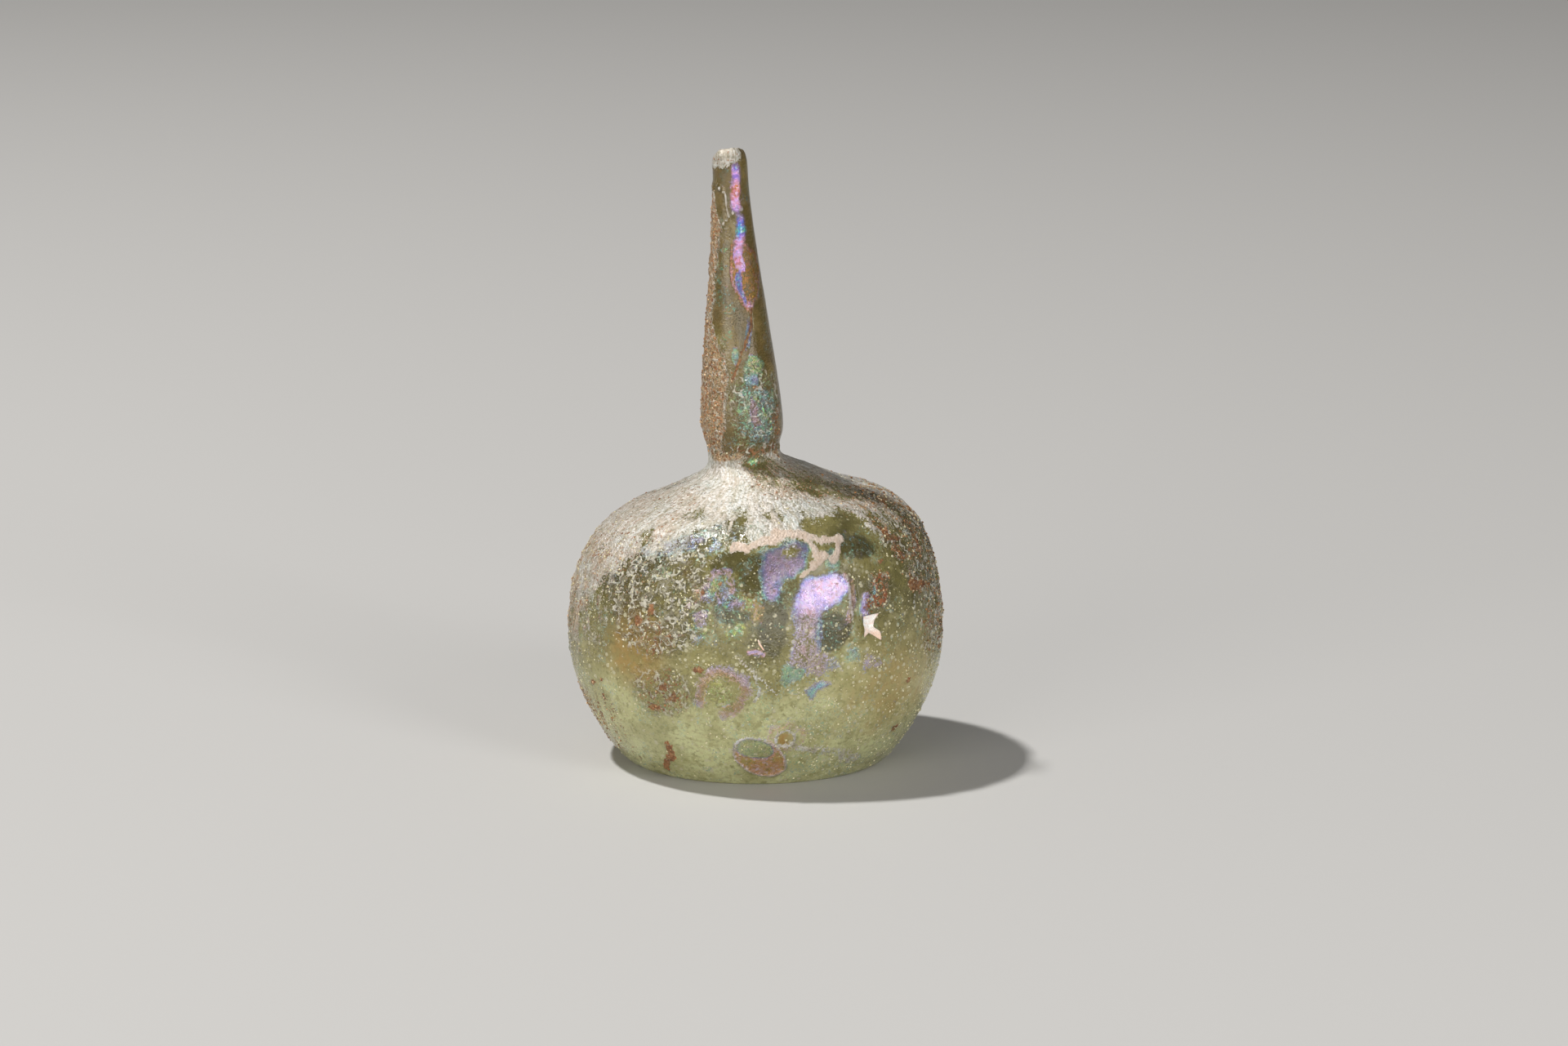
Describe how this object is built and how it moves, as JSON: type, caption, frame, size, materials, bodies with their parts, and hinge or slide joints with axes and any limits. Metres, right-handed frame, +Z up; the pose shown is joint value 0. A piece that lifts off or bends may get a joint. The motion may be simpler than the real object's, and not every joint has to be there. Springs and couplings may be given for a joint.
{
  "type": "rosewater sprinkler",
  "caption": "Blown-glass sprinkler bottle: flattened globular belly, sloping shoulder and a tall leaning neck tapering to a narrow mouth, for shaking out scented water drop by drop.",
  "frame": {"origin": "centre of the resting ring on the floor, on the belly's axis", "axes": "+Z up along the belly's axis, +X to the side where the shoulder is higher, +Y away from the viewer of the front"},
  "size_m": [0.0924, 0.0794, 0.1517],
  "materials": {
    "weathered_glass": "olive-green translucent glass, pitted and iridescent, with pale crust on the shoulder and brown soil in the pits"
  },
  "bodies": {
    "root": {"sprinkler": "weathered_glass"}
  },
  "joints": []
}
